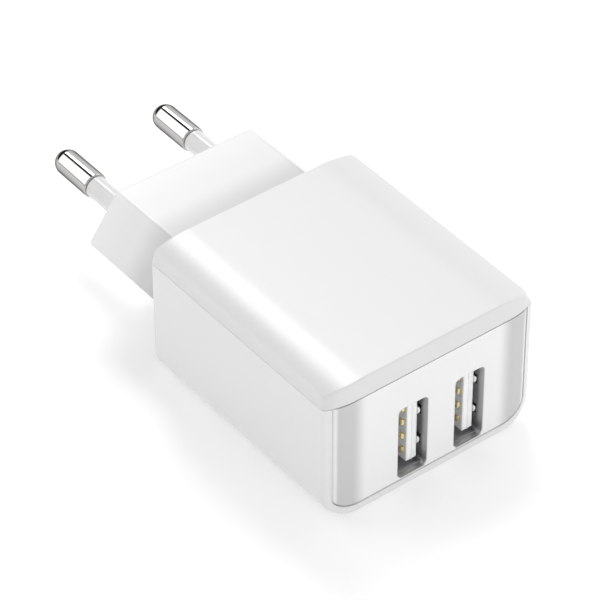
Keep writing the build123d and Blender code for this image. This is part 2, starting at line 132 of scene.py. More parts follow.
def grey_ramp(tree: Tree, value: Socket, stops: Iterable[Point2], shape: str = "LINEAR") -> Socket:
    """Add a grey ramp.

    Args:
        tree: Nodes that it joins.
        value: Place on the ramp.
        stops: The ramp as (place, level) pairs.
        shape: Interpolation between the stops.

    Returns:
        Its output.
    """
    node = tree.nodes.new("ShaderNodeValToRGB")
    node.color_ramp.interpolation = shape
    elements = node.color_ramp.elements
    elements.remove(elements[1])
    for place, level in stops[1:]:
        elements.new(place).color = (level, level, level, 1)
    elements[0].position = stops[0][0]
    elements[0].color = (stops[0][1],) * 3 + (1,)
    tree.links.new(value, node.inputs["Fac"])
    return node.outputs["Color"]


class Effects:
    """Shader node groups that more than one finish places."""

    @staticmethod
    def _pattern(name: str, scale: float, detail: float, output: str, stretch: Point3 = (1.0, 1.0, 1.0)) -> Tree:
        """Group that spreads noise on object coordinates between Low and High.

        Args:
            name: Group name.
            scale: Default scale of the noise.
            detail: Octaves of the noise.
            output: Name of the output.
            stretch: Scale of the coordinates along each axis.

        Returns:
            The group, made on first use.
        """
        if name in bpy.data.node_groups:
            return bpy.data.node_groups[name]
        tree = bpy.data.node_groups.new(name, "ShaderNodeTree")
        for key, value in {"Scale": scale, "Low": 0.0, "High": 1.0}.items():
            tree.interface.new_socket(key, in_out="INPUT", socket_type="NodeSocketFloat").default_value = value
        tree.interface.new_socket(output, in_out="OUTPUT", socket_type="NodeSocketFloat")
        kinds = ("NodeGroupInput", "NodeGroupOutput", "ShaderNodeTexCoord", "ShaderNodeMapping",
                 "ShaderNodeTexNoise", "ShaderNodeMapRange")
        source, sink, place, mapping, noise, span = (tree.nodes.new(kind) for kind in kinds)
        mapping.inputs["Scale"].default_value = stretch
        noise.inputs["Detail"].default_value = detail
        for start, end in (
            (place.outputs["Object"], mapping.inputs["Vector"]),
            (mapping.outputs["Vector"], noise.inputs["Vector"]),
            (source.outputs["Scale"], noise.inputs["Scale"]),
            (noise.outputs["Fac"], span.inputs["Value"]),
            (source.outputs["Low"], span.inputs["To Min"]),
            (source.outputs["High"], span.inputs["To Max"]),
            (span.outputs["Result"], sink.inputs[output]),
        ):
            tree.links.new(start, end)
        return tree

    @classmethod
    def grain(cls) -> Tree:
        """Height of a fine moulded or blasted grain."""
        return cls._pattern("surface_grain", 9000.0, 3.0, "Height")

    @classmethod
    def mottle(cls) -> Tree:
        """Slow uneven change, for roughness or tone."""
        return cls._pattern("surface_mottle", 160.0, 2.0, "Value")

    @classmethod
    def drawn_lines(cls) -> Tree:
        """Fine lines along Y, as on drawn or turned metal."""
        return cls._pattern("drawn_lines", 5000.0, 2.0, "Value", stretch=(1.0, 0.04, 1.0))


@dataclass(frozen=True)
class Finish:
    """A surface finish with its own tone, gloss and fine texture."""

    name: str
    colour: Colour
    roughness: tuple[float, float]
    metallic: float = 0.0
    coat: float = 0.0
    coat_roughness: float = 0.08
    grain_scale: float = 9000.0
    grain_depth: float = 0.0
    grain_strength: float = 0.6
    tone_scale: float = 120.0
    tone_change: float = 0.02
    lines: bool = False
    line_scale: float = 5000.0
    ior: float = 1.5
    # The next two fields paint shade into the base colour, by the distance from the middle along one axis.
    painted_shade_axis: Axis | None = None
    painted_shade_stops: tuple[Point2, ...] = ()
    glow: float = 0.0
    # Below 1, the next field paints dark reflections at the grazing rims of a metal.
    painted_dark_rim_tint: float = 1.0

    def material(self) -> bpy.types.Material:
        """Make this finish's material on first use.

        Returns:
            The material.
        """
        if self.name in bpy.data.materials:
            return bpy.data.materials[self.name]
        material = bpy.data.materials.new(self.name)
        material.use_nodes = True
        tree = material.node_tree
        shader = tree.nodes["Principled BSDF"]
        shader.inputs["Metallic"].default_value = self.metallic
        shader.inputs["Coat Weight"].default_value = self.coat
        shader.inputs["Coat Roughness"].default_value = self.coat_roughness
        shader.inputs["IOR"].default_value = self.ior
        shader.inputs["Specular Tint"].default_value = (self.painted_dark_rim_tint,) * 3 + (1,)
        shader.inputs["Emission Color"].default_value = self.colour
        shader.inputs["Emission Strength"].default_value = self.glow
        self._roughness(tree, shader)
        self._tone(tree, shader)
        if self.grain_depth > 0:
            self._bump(tree, shader)
        return material

    @staticmethod
    def _effect(tree: Tree, group: Tree, scale: float, low: float = 0.0, high: float = 1.0) -> Socket:
        """Place an effect with its own values.

        Args:
            tree: Material's nodes.
            group: The effect.
            scale: Scale of its noise.
            low: Output where the noise is 0.
            high: Output where the noise is 1.

        Returns:
            Its output.
        """
        node = tree.nodes.new("ShaderNodeGroup")
        node.node_tree = group
        for key, value in (("Scale", scale), ("Low", low), ("High", high)):
            node.inputs[key].default_value = value
        return node.outputs[0]

    def _roughness(self, tree: Tree, shader: bpy.types.Node) -> None:
        """Drive roughness between its two limits.

        Args:
            tree: Material's nodes.
            shader: Its shader.
        """
        group = Effects.drawn_lines() if self.lines else Effects.mottle()
        scale = self.line_scale if self.lines else self.tone_scale * GLOSS_TO_TONE
        tree.links.new(self._effect(tree, group, scale, *self.roughness), shader.inputs["Roughness"])

    def _tone(self, tree: Tree, shader: bpy.types.Node) -> None:
        """Let the base colour drift a little over the surface, and paint shade into it where the finish says.

        Args:
            tree: Material's nodes.
            shader: Its shader.
        """
        tone = self._effect(tree, Effects.mottle(), self.tone_scale, 1.0 - self.tone_change)
        if self.painted_shade_axis:
            tone = self._paint_shade(tree, tone)
        scale = tree.nodes.new("ShaderNodeVectorMath")
        scale.operation = "SCALE"
        scale.inputs[0].default_value = self.colour[:3]
        tree.links.new(tone, scale.inputs["Scale"])
        tree.links.new(scale.outputs["Vector"], shader.inputs["Base Color"])

    def _paint_shade(self, tree: Tree, tone: Socket) -> Socket:
        """Paint shade into the tone, changing smoothly with the distance from the middle along an axis.

        Args:
            tree: Material's nodes.
            tone: Tone before the painted shade.

        Returns:
            Tone after the painted shade.
        """
        place = tree.nodes.new("ShaderNodeTexCoord")
        away = maths(tree, "ABSOLUTE", dot(tree, place.outputs["Object"], self.painted_shade_axis.value))
        reach = self.painted_shade_stops[-1][0]
        stops = [(distance / reach, level) for distance, level in self.painted_shade_stops]
        # The ramp darkens the tone: painted shade.
        shade_level = grey_ramp(tree, maths(tree, "DIVIDE", away, reach * MM), stops, "EASE")
        return maths(tree, "MULTIPLY", tone, shade_level)

    def _bump(self, tree: Tree, shader: bpy.types.Node) -> None:
        """Add the fine grain as a bump.

        Args:
            tree: Material's nodes.
            shader: Its shader.
        """
        bump = tree.nodes.new("ShaderNodeBump")
        bump.inputs["Strength"].default_value = self.grain_strength
        bump.inputs["Distance"].default_value = self.grain_depth
        tree.links.new(self._effect(tree, Effects.grain(), self.grain_scale), bump.inputs["Height"])
        tree.links.new(bump.outputs["Normal"], shader.inputs["Normal"])


SHELL_PLASTIC = Finish("white_satin_moulding", (0.78, 0.78, 0.78, 1), (0.20, 0.25), grain_depth=1e-6,
                       grain_scale=5200.0, tone_change=0.008)
# Painted shade: the port face's colour darkens over its swept flanks, from about 12 mm to 17 mm out from the middle.
PANEL_PLASTIC_PAINTED_SHADE = Finish("white_matte_grain_painted_shade", (0.87, 0.87, 0.87, 1), (0.46, 0.56), grain_depth=1.2e-5,
                       grain_scale=6500.0, tone_change=0.015, painted_shade_axis=Axis.X,
                       painted_shade_stops=((11.6, 1.0), (14.2, 0.67), (16.3, 0.67), (16.8, 0.95), (18.5, 0.95)))
# A lighter copy of the shell's plastic, to paint light on the nose, with painted shade darkening it towards the body.
NOSE_PLASTIC_PAINTED_LIGHT_AND_SHADE = Finish("white_satin_nose_painted_light_and_shade", (0.88, 0.88, 0.88, 1), (0.20, 0.25), grain_depth=1e-6,
                      grain_scale=5200.0, tone_change=0.008, painted_shade_axis=Axis.Y,
                      painted_shade_stops=((2.2, 0.54), (6.0, 0.71), (12.0, 0.94), (20.0, 1.0)))
# Base colour kept low and rim tint near black, to paint darker reflections and dark rims on the pins.
NICKEL_PAINTED_DARK_RIMS = Finish("bright_nickel_painted_dark_rims", (0.52, 0.515, 0.505, 1), (0.035, 0.06), metallic=1.0, tone_change=0.02, painted_dark_rim_tint=0.05)
SLEEVE_PLASTIC = Finish("white_gloss_sleeve", (0.76, 0.76, 0.76, 1), (0.18, 0.24), tone_change=0.01)
# Near-black steel paints the shade inside the ports, and its rim tint paints dark reflections.
PORT_STEEL_PAINTED_SHADE = Finish("port_steel", (0.02, 0.02, 0.021, 1), (0.26, 0.40), metallic=0.9, lines=True, tone_change=0.1,
                    painted_dark_rim_tint=0.02)
PORT_MOUTH = Finish("port_mouth_steel", (0.52, 0.52, 0.52, 1), (0.30, 0.42), metallic=0.7, lines=True, tone_change=0.1)
TAB_STEEL = Finish("spring_steel", (0.88, 0.88, 0.88, 1), (0.18, 0.28), metallic=1.0, lines=True)
# Its glow paints light on the tongues, which are no lamps.
INSULATOR_PAINTED_GLOW = Finish("white_insulator_painted_glow", (0.95, 0.95, 0.95, 1), (0.30, 0.40), grain_depth=2e-6, tone_change=0.02,
                   glow=0.06)
GOLD = Finish("gold_plate", (0.88, 0.74, 0.38, 1), (0.16, 0.26), metallic=1.0, lines=True, tone_change=0.06)
TIN = Finish("tinned_strip", (0.66, 0.66, 0.64, 1), (0.25, 0.42), metallic=1.0, tone_change=0.12)
BOARD = Finish("green_solder_mask", (0.02, 0.16, 0.06, 1), (0.22, 0.34), coat=0.3, grain_depth=4e-6, tone_change=0.2)
BLACK = Finish("black_moulding", (0.02, 0.02, 0.021, 1), (0.38, 0.52), grain_depth=6e-6, tone_change=0.15)
FERRITE = Finish("dark_ferrite", (0.06, 0.058, 0.06, 1), (0.42, 0.6), grain_depth=1.2e-5, tone_change=0.3)
TAPE = Finish("yellow_tape", (0.80, 0.56, 0.05, 1), (0.18, 0.3), coat=0.2, tone_change=0.08)
CAN_SLEEVE = Finish("capacitor_sleeve", (0.02, 0.03, 0.07, 1), (0.18, 0.26), coat=0.3, tone_change=0.1)
RESISTOR = Finish("resistor_coat", (0.20, 0.34, 0.28, 1), (0.45, 0.6), grain_depth=1e-5, tone_change=0.15)
DISC = Finish("dipped_epoxy", (0.05, 0.13, 0.42, 1), (0.22, 0.34), coat=0.2, grain_depth=8e-6, tone_change=0.15)
BARRIER = Finish("barrier_sheet", (0.72, 0.68, 0.56, 1), (0.3, 0.45), tone_change=0.08)
FLOOR = Finish("pale_floor", (0.95, 0.95, 0.95, 1), (0.8, 0.9), tone_change=0.005, glow=0.21)


# ---- Mesh helpers -----------------------------------------------------------
def arc(centre: Point2, radii: Point2, start: float, stop: float, steps: int) -> list[Point2]:
    """Points along an elliptical arc.

    Args:
        centre: Centre of the ellipse.
        radii: Half axes.
        start: First angle in degrees.
        stop: Last angle in degrees.
        steps: Number of chords.

    Returns:
        steps + 1 points.
    """
    angles = [math.radians(start + (stop - start) * i / steps) for i in range(steps + 1)]
    return [(centre[0] + radii[0] * math.cos(a), centre[1] + radii[1] * math.sin(a)) for a in angles]


def rounded_polygon(corners: list[Point2], radii: list[float], inset: float = 0.0, steps: int = 6) -> list[Point2]:
    """Closed outline of a convex polygon with rounded corners, moved inwards.

    Args:
        corners: Sharp corners, anticlockwise.
        radii: Rounding of each corner before the outline moves.
        inset: How far the outline moves inwards.
        steps: Chords in each corner.

    Returns:
        The same number of points for every inset.
    """
    outline: list[Point2] = []
    for i, corner in enumerate(corners):
        here, before, after = Vector(corner), Vector(corners[i - 1]), Vector(corners[(i + 1) % len(corners)])
        into, out = (here - before).normalized(), (after - here).normalized()
        inward = [Vector((-way.y, way.x)) for way in (into, out)]
        reach = max(radii[i], inset + LEAST_ROUND)
        middle = here + (inward[0] + inward[1]) * reach / (1 + inward[0].dot(inward[1]))
        start = math.degrees(math.atan2(-inward[0].y, -inward[0].x))
        turn = math.degrees(into.angle(out))
        outline += arc(tuple(middle), (reach - inset,) * 2, start, start + turn, steps)
    return outline


def rounded_rectangle(centre: Point2, size: Point2, radius: float, inset: float = 0.0, steps: int = 6) -> list[Point2]:
    """Closed outline of a rounded rectangle, anticlockwise, moved inwards.

    Args:
        centre: Its middle.
        size: Full width and height.
        radius: Corner rounding before the outline moves.
        inset: How far the outline moves inwards.
        steps: Chords in each corner.

    Returns:
        The outline.
    """
    (x, z), (w, h) = centre, (size[0] / 2, size[1] / 2)
    corners = [(x - w, z - h), (x + w, z - h), (x + w, z + h), (x - w, z + h)]
    return rounded_polygon(corners, [radius] * 4, inset, steps)


def quarter_turn(radius: float, steps: int) -> list[Point2]:
    """A rounded edge as (inset, depth) pairs, from the flat's end down to the side."""
    return [(radius - a, radius - b) for a, b in arc((0, 0), (radius, radius), 90, 0, steps)]


def upright(outline: Iterable[Point2], y: float) -> list[Point3]:
    """Stand an (x, z) outline up at one place along Y."""
    return [(x, y, z) for x, z in outline]


def loop_edges(bm: Mesh, points: Iterable[Point3], closed: bool = True) -> Edges:
    """Add a chain of vertices and edges; each vertex keeps its station on the chain.

    Args:
        bm: Mesh that takes them.
        points: Corners in order, in millimetres.
        closed: Whether the last point joins the first.

    Returns:
        The new edges.
    """
    layer = bm.verts.layers.int.get(STATION) or bm.verts.layers.int.new(STATION)
    verts = [bm.verts.new(p) for p in points]
    for station, vert in enumerate(verts):
        vert[layer] = station
    pairs = list(zip(verts, verts[1:])) + ([(verts[-1], verts[0])] if closed else [])
    return [bm.edges.new(pair) for pair in pairs]


def pull(bm: Mesh, edges: Edges, points: list[Point3]) -> Edges:
    """Extrude a chain and send each new vertex to its station's next point.

    Args:
        bm: Mesh that holds the chain.
        edges: The chain.
        points: Where each station goes.

    Returns:
        The new chain.
    """
    layer = bm.verts.layers.int[STATION]
    new = bmesh.ops.extrude_edge_only(bm, edges=edges)["geom"]
    verts = {g for g in new if isinstance(g, bmesh.types.BMVert)}
    for vert in verts:
        vert.co = points[vert[layer]]
    return list({e for v in verts for e in v.link_edges if e.other_vert(v) in verts})


def loft(bm: Mesh, rings: list[list[Point3]], closed: bool = True) -> tuple[Edges, Edges]:
    """Skin over a run of rings that have the same stations.

    Args:
        bm: Mesh that takes the skin.
        rings: Rings in order.
        closed: Whether each ring closes on itself.

    Returns:
        The edges of the first ring and of the last ring.
    """
    first = last = loop_edges(bm, rings[0], closed)
    for ring in rings[1:]:
        last = pull(bm, last, ring)
    return first, last


def cap(bm: Mesh, edges: Edges) -> list[Face]:
    """Close a flat chain with one face, joining its ends if it is open.

    Args:
        bm: Mesh that holds the chain.
        edges: The chain.

    Returns:
        The new face, in a list.
    """
    uses = Counter(vert for edge in edges for vert in edge.verts)
    ends = [vert for vert, count in uses.items() if count == 1]
    rim = edges + ([bm.edges.new(ends)] if ends else [])
    return bmesh.ops.contextual_create(bm, geom=rim)["faces"]


def fill(bm: Mesh, edges: Edges, facing: float) -> None:
    """Fill a flat outline with holes, facing along +Y or -Y."""
    bmesh.ops.triangle_fill(bm, edges=edges, use_beauty=True, normal=(0, facing, 0))


def open_edges(bm: Mesh) -> Edges:
    """Edges with a face on one side only."""
    return [e for e in bm.edges if len(e.link_faces) == 1]


def extrude_by(bm: Mesh, faces: list[Face], by: Point3, keep: bool = False) -> None:
    """Extrude a region of faces and move its far side.

    Args:
        bm: Mesh that holds the faces.
        faces: The region.
        by: How far it moves.
        keep: Whether the region's old faces stay, as the near side of a new block.
    """
    new = bmesh.ops.extrude_face_region(bm, geom=faces)["geom"]
    bmesh.ops.translate(bm, vec=by, verts=[g for g in new if isinstance(g, bmesh.types.BMVert)])
    if not keep:
        bmesh.ops.delete(bm, geom=faces, context="FACES_ONLY")


def slice_at(bm: Mesh, axis: Axis, places: Iterable[float],
             part: Callable[[Face], bool] = lambda face: True) -> None:
    """Cut faces by planes across an axis.

    Args:
        bm: Mesh in millimetres.
        axis: Axis that the planes stand across.
        places: Where the planes are.
        part: Picks the faces that are cut.
    """
    for place in places:
        point = [c * place for c in axis.value]
        faces = [f for f in bm.faces if part(f)]
        rims = list({e for f in faces for e in f.edges} | {v for f in faces for v in f.verts})
        bmesh.ops.bisect_plane(bm, geom=faces + rims, plane_co=point, plane_no=axis.value, dist=1e-3)


def clean(bm: Mesh) -> None:
    """Merge doubles and turn every face outwards."""
    bmesh.ops.remove_doubles(bm, verts=list(bm.verts), dist=NEAR)
    bmesh.ops.recalc_face_normals(bm, faces=list(bm.faces))


def place_object(name: str, bm: Mesh, finish: Finish, smooth_angle: float = 32.0) -> Piece:
    """Turn a mesh in millimetres from the port face into an object in the shared frame.

    Args:
        name: Object name.
        bm: The mesh; it is freed.
        finish: Its finish.
        smooth_angle: Edges sharper than this stay sharp.

    Returns:
        The object, linked to the scene.
    """
    bmesh.ops.translate(bm, vec=(0, FRONT_Y, 0), verts=list(bm.verts))
    bmesh.ops.scale(bm, vec=(MM, MM, MM), verts=list(bm.verts))
    mesh = bpy.data.meshes.new(name)
    bm.to_mesh(mesh)
    bm.free()
    mesh.shade_smooth()
    mesh.set_sharp_from_angle(angle=math.radians(smooth_angle))
    obj = bpy.data.objects.new(name, mesh)
    bpy.context.scene.collection.objects.link(obj)
    mesh.materials.append(finish.material())
    return obj


def keep_flats(obj: Piece) -> None:
    """Even out the shading of the flats beside the roundings.

    Args:
        obj: The piece.
    """
    flats = obj.modifiers.new("flats", "WEIGHTED_NORMAL")
    flats.keep_sharp = True
    flats.weight = FLAT_WEIGHT


def finish_mesh(name: str, bm: Mesh, finish: Finish) -> Piece:
    """Close up a mesh, make its object and keep its flats flat beside its roundings.

    Args:
        name: Object name.
        bm: The mesh; it is freed.
        finish: Its finish.

    Returns:
        The object.
    """
    clean(bm)
    gaps = len(open_edges(bm))
    if gaps:
        log.warning("%s has %d open edges", name, gaps)
    obj = place_object(name, bm, finish)
    keep_flats(obj)
    return obj


def stand_for(obj: Piece, node: str, body: str = CHARGER) -> Piece:
    """Mount a piece on its body in place of a CAD node and report it.

    Args:
        obj: The finished piece.
        node: CAD node that it stands for.
        body: Body that it moves with.

    Returns:
        The same object.
    """
    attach(obj, body)
    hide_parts(node)
    log.info("%s: %d faces, on %s", obj.name, len(obj.data.polygons), body)
    return obj


# ---- Body -------------------------------------------------------------------
@dataclass(frozen=True)
class BodyForm:
    """Outer form that the cover, the housing and the front panel share, in millimetres."""

    half_width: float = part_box("bottom_housing")[1].x / MM
    length: float = (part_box("bottom_housing")[1].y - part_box("bottom_housing")[0].y) / MM
    height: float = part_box("top_cover")[1].z / MM
    seam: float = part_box("bottom_housing")[1].z / MM
    crease_z: float = 22.45
    crease_inset: float = 0.65
    top_flat_half: float = 11.6
    corner: Point2 = (6.0, 4.0)
    front_flat_half: float = 13.5
    sweep_radius: float = 12.0
    cover_lean: float = 0.82
    edge_steps: int = 12

    def fall(self, x: float) -> float:
        """How far the port face falls back at x."""
        reach = max(0.0, abs(x) - self.front_flat_half)
        return self.sweep_radius - math.sqrt(self.sweep_radius**2 - reach**2)

    def crown(self, x: float) -> float:
        """Height of the crowned top, a flat between two arcs.

        Args:
            x: Place across the top.

        Returns:
            The height.
        """
        run = self.half_width - self.crease_inset - self.top_flat_half
        drop = self.height - self.crease_z
        radius = (run**2 + drop**2) / (2 * drop)
        out = min(run, max(0.0, abs(x) - self.top_flat_half))
        return self.height - radius + math.sqrt(radius**2 - out**2)

    def trough(self, inset: float, top: float, lip: float) -> list[Point2]:
        """Open U from the left wall's top, round the bottom, to the right wall's top.

        Args:
            inset: Distance inside the outer form.
            top: Height of its two ends.
            lip: Rounding of the outer edge of its two ends.

        Returns:
            Points as (x, z).
        """
        half = self.half_width - inset
        radii = (self.corner[0] - inset, self.corner[1] - inset)
        right = arc((half - radii[0], inset + radii[1]), radii, -90, 0, CORNER_STEPS)
        right += arc((half - lip, top - lip), (lip, lip), 0, 90, 3)
        return [(-x, z) for x, z in reversed(right)] + right

    def plan(self, inset: float, front_round: float, back_round: float) -> list[Point2]:
        """Plan outline of the lid with its swept front, as (x, y).

        Args:
            inset: Distance inside the outer form.
            front_round: Corner rounding at the port face.
            back_round: Corner rounding at the plug side.

        Returns:
            Front stations from left to right, then back stations from right to left.
        """
        half = self.half_width
        corners = [(-half, 0.0), (half, 0.0), (half, self.length), (-half, self.length)]
        turns = rounded_polygon(corners, [front_round] * 2 + [back_round] * 2, inset)
        quarter = len(turns) // 4
        left, right, right_back, left_back = (turns[i * quarter:(i + 1) * quarter] for i in range(4))
        shares = self._edge_shares()
        front = [(right[0][0] * share, left[-1][1]) for share in shares]
        back = [(right_back[-1][0] * share, left_back[0][1]) for share in reversed(shares)]
        outline = left + front + right + right_back + back + left_back
        return [(x, y + self.fall(x) * (1 - y / self.length)) for x, y in outline]

    def _edge_shares(self) -> list[float]:
        """Places of the stations along an end edge.

        Returns:
            Shares of half its length.
        """
        start = self.top_flat_half / self.half_width
        right = [start + (1 - start) * i / self.edge_steps for i in range(self.edge_steps)]
        return [-share for share in reversed(right)] + right


BODY = BodyForm()


@dataclass
class BottomHousing:
    """Tub whose front rim frames the port panel."""

    wall: float = 1.25
    front_round: float = 0.5
    foot_round: float = 0.3
    back_round: float = 0.8
    lip_round: float = 0.06
    rim_depth: float = 1.0
    straight_from: float = 3.0

    def build(self) -> Piece:
        """Build the tub and mount it.

        Returns:
            The piece.
        """
        bm = bmesh.new()
        first, last = loft(bm, self._rings(), closed=False)
        cap(bm, first)
        cap(bm, last)
        bmesh.ops.contextual_create(bm, geom=open_edges(bm))
        obj = finish_mesh("bottom_housing_shell", bm, SHELL_PLASTIC)
        return stand_for(obj, "bottom_housing")

    def _rings(self) -> list[list[Point3]]:
        """Rings from the inner back wall, round the front rim, to the outer back wall.

        Returns:
            The rings.
        """
        length, lip = BODY.length, self.lip_round
        rings = [self._ring(lambda climb: (self.wall, length - self.wall), 0.0)]
        rings.append(self._ring(lambda climb: (self.wall, lip + self.rim_depth), 1.0))
        for inset, depth in reversed(quarter_turn(lip, 3)):
            rings.append(self._ring(lambda climb: (self.wall - inset, depth), 1.0))
        for inset, depth in quarter_turn(1.0, 8):
            rings.append(self._ring(lambda climb: (inset * self._rounding(climb), depth * self._rounding(climb)), 1.0))
        rings.append(self._ring(lambda climb: (0.0, self.straight_from), 1.0))
        for inset, depth in reversed(quarter_turn(self.back_round, 6)):
            rings.append(self._ring(lambda climb: (inset, length - depth), 0.0))
        return rings

    def _rounding(self, climb: float) -> float:
        """Front rounding, which grows from the foot to the upright corners."""
        return self.foot_round + (self.front_round - self.foot_round) * climb

    def _ring(self, place: Callable[[float], Point2], sweep: float) -> list[Point3]:
        """One ring of the tub.

        Args:
            place: Gives (inset, y) from how upright the wall is, 0 at the foot and 1 on the sides.
            sweep: Share of the front's sweep that the ring follows.

        Returns:
            The ring's points.
        """
        ring = []
        steepness = [min(1.0, z / BODY.corner[1]) ** 2 for _, z in BODY.trough(0.0, BODY.seam, self.lip_round)]
        for station, climb in enumerate(steepness):
            inset, y = place(climb)
            x, z = BODY.trough(inset, BODY.seam, self.lip_round)[station]
            ring.append((x, y + BODY.fall(x) * sweep, z))
        return ring


@dataclass
class TopCover:
    """Lid with a crowned top, leaning side bands and a leaning front band."""

    gap: float = 0.035
    wall: float = 1.5
    front_round: float = 0.6
    back_round: float = 0.8
    crease_round: float = 0.16
    foot_round: float = 0.12

    def build(self) -> Piece:
        """Build the lid and mount it.

        Returns:
            The piece.
        """
        bm = bmesh.new()
        low = BODY.seam + self.gap
        rings = [self._ring(self.wall, None, self.wall), self._ring(self.wall, low, 0.0)]
        rings += [self._ring(e, low + d, 0.0) for e, d in quarter_turn(self.foot_round, 4)]
        rings += [self._ring(e, None, d) for e, d in reversed(quarter_turn(self.crease_round, 6))]
        for ring in loft(bm, rings):
            self._close(bm, ring)
        obj = finish_mesh("top_cover_shell", bm, SHELL_PLASTIC)
        return stand_for(obj, "top_cover")

    def _ring(self, inset: float, height: float | None, drop: float) -> list[Point3]:
        """One ring of the lid.

        Args:
            inset: Distance inside the leaning band.
            height: Height of the ring, or None where it follows the crown.
            drop: Distance under the crown.

        Returns:
            The ring's points.
        """
        low = BODY.seam + self.gap
        base = BODY.plan(0.0, self.front_round, self.back_round)
        ring = []
        for (x, y), (base_x, _) in zip(BODY.plan(inset, self.front_round, self.back_round), base):
            narrow = 1 - BODY.crease_inset / BODY.half_width
            z = BODY.crown(x * narrow) - drop if height is None else height
            lean = (z - low) / (BODY.crown(base_x * narrow) - low)
            ring.append((x * (1 - (1 - narrow) * lean), y + BODY.cover_lean * lean * (1 - y / BODY.length), z))
        return ring

    @staticmethod
    def _close(bm: Mesh, ring: Edges) -> None:
        """Skin straight across a ring, from its front stations to its back stations.

        Args:
            bm: Mesh that holds the ring.
            ring: The ring's edges.
        """
        layer = bm.verts.layers.int[STATION]
        half = len(ring) // 2
        front = [e for e in ring if all(v[layer] < half for v in e.verts)]
        back = [e for e in ring if all(v[layer] >= half for v in e.verts)]
        bmesh.ops.bridge_loops(bm, edges=front + back)


def port_centre(side: Side) -> Point2:
    """Centre of a port as (x, z) in millimetres, from its CAD shell."""
    low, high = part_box(f"usb_shell_{side.value}")
    return ((low.x + high.x) / 2 / MM, (low.z + high.z) / 2 / MM)


PORT_CENTRES = {side: port_centre(side) for side in Side}


@dataclass
class FrontPanel:
    """Matte insert with two upright slots."""

    rim: float = 1.25
    gap: float = 0.035
    thickness: float = 0.75
    slot: Point2 = (5.3, 12.9)
    slot_radius: float = 0.9
    edge_round: float = 0.5
    slot_round: float = 0.08
    top_round: float = 0.1
    end_clear: float = 0.05

    def build(self) -> Piece:
        """Build the insert and mount it.

        Returns:
            The piece.
        """
        bm = bmesh.new()
        starts, ends = [], []
        for rings in [self._edge_rings()] + [self._slot_rings(centre) for centre in PORT_CENTRES.values()]:
            first, last = loft(bm, rings)
            starts += first
            ends += last
        fill(bm, starts, 1)
        fill(bm, ends, -1)
        slice_at(bm, Axis.X, self._cuts(0.0), lambda face: face.calc_center_median().y > self.thickness - NEAR)
        slice_at(bm, Axis.X, self._cuts(self.edge_round), lambda face: face.calc_center_median().y < NEAR)
        for vert in bm.verts:
            vert.co.y += BODY.fall(vert.co.x)
        obj = finish_mesh("front_panel_insert", bm, PANEL_PLASTIC_PAINTED_SHADE)
        return stand_for(obj, "front_panel")

    def _outline(self, inset: float) -> list[Point2]:
        """Outline of the insert, with stations along its top edge over those in its lower corners.

        Args:
            inset: Distance inside the insert's edge.

        Returns:
            Points as (x, z).
        """
        drop = self.gap + min(inset, self.slot_round)
        around = BODY.trough(self.rim + self.gap + inset, BODY.seam - drop, self.top_round)
        end, top = around[-1]
        return around + [(x, top) for x in reversed(self._cuts(inset)) if abs(x) < end - self.end_clear]

    def _cuts(self, inset: float) -> list[float]:
        """Places across the insert where its swept face turns.

        Args:
            inset: Distance inside the insert's edge.

        Returns:
            The places from left to right.
        """
        half = BODY.half_width - self.rim - self.gap - inset
        reach = BODY.corner[0] - self.rim - self.gap - inset
        angles = [math.radians(90 * i / CORNER_STEPS) for i in range(CORNER_STEPS)]
        right = [half - reach + reach * math.sin(angle) for angle in angles]
        return [-x for x in reversed(right)] + right

    def _edge_rings(self) -> list[list[Point3]]:
        """Rings of the outer edge, from the back skin to the front skin."""
        places = [(0.0, self.thickness)] + list(reversed(quarter_turn(self.edge_round, 7)))
        return [upright(self._outline(inset), depth) for inset, depth in places]

    def _slot_rings(self, centre: Point2) -> list[list[Point3]]:
        """Rings of one slot, from the back skin to the front skin."""
        places = [(0.0, self.thickness)] + list(reversed(quarter_turn(self.slot_round, 3)))
        return [upright(self.slot_outline(centre, -inset), depth) for inset, depth in places]

    def slot_outline(self, centre: Point2, inset: float) -> list[Point2]:
        """Outline of one slot, moved inwards."""
        return rounded_rectangle(centre, self.slot, self.slot_radius, inset, 8)


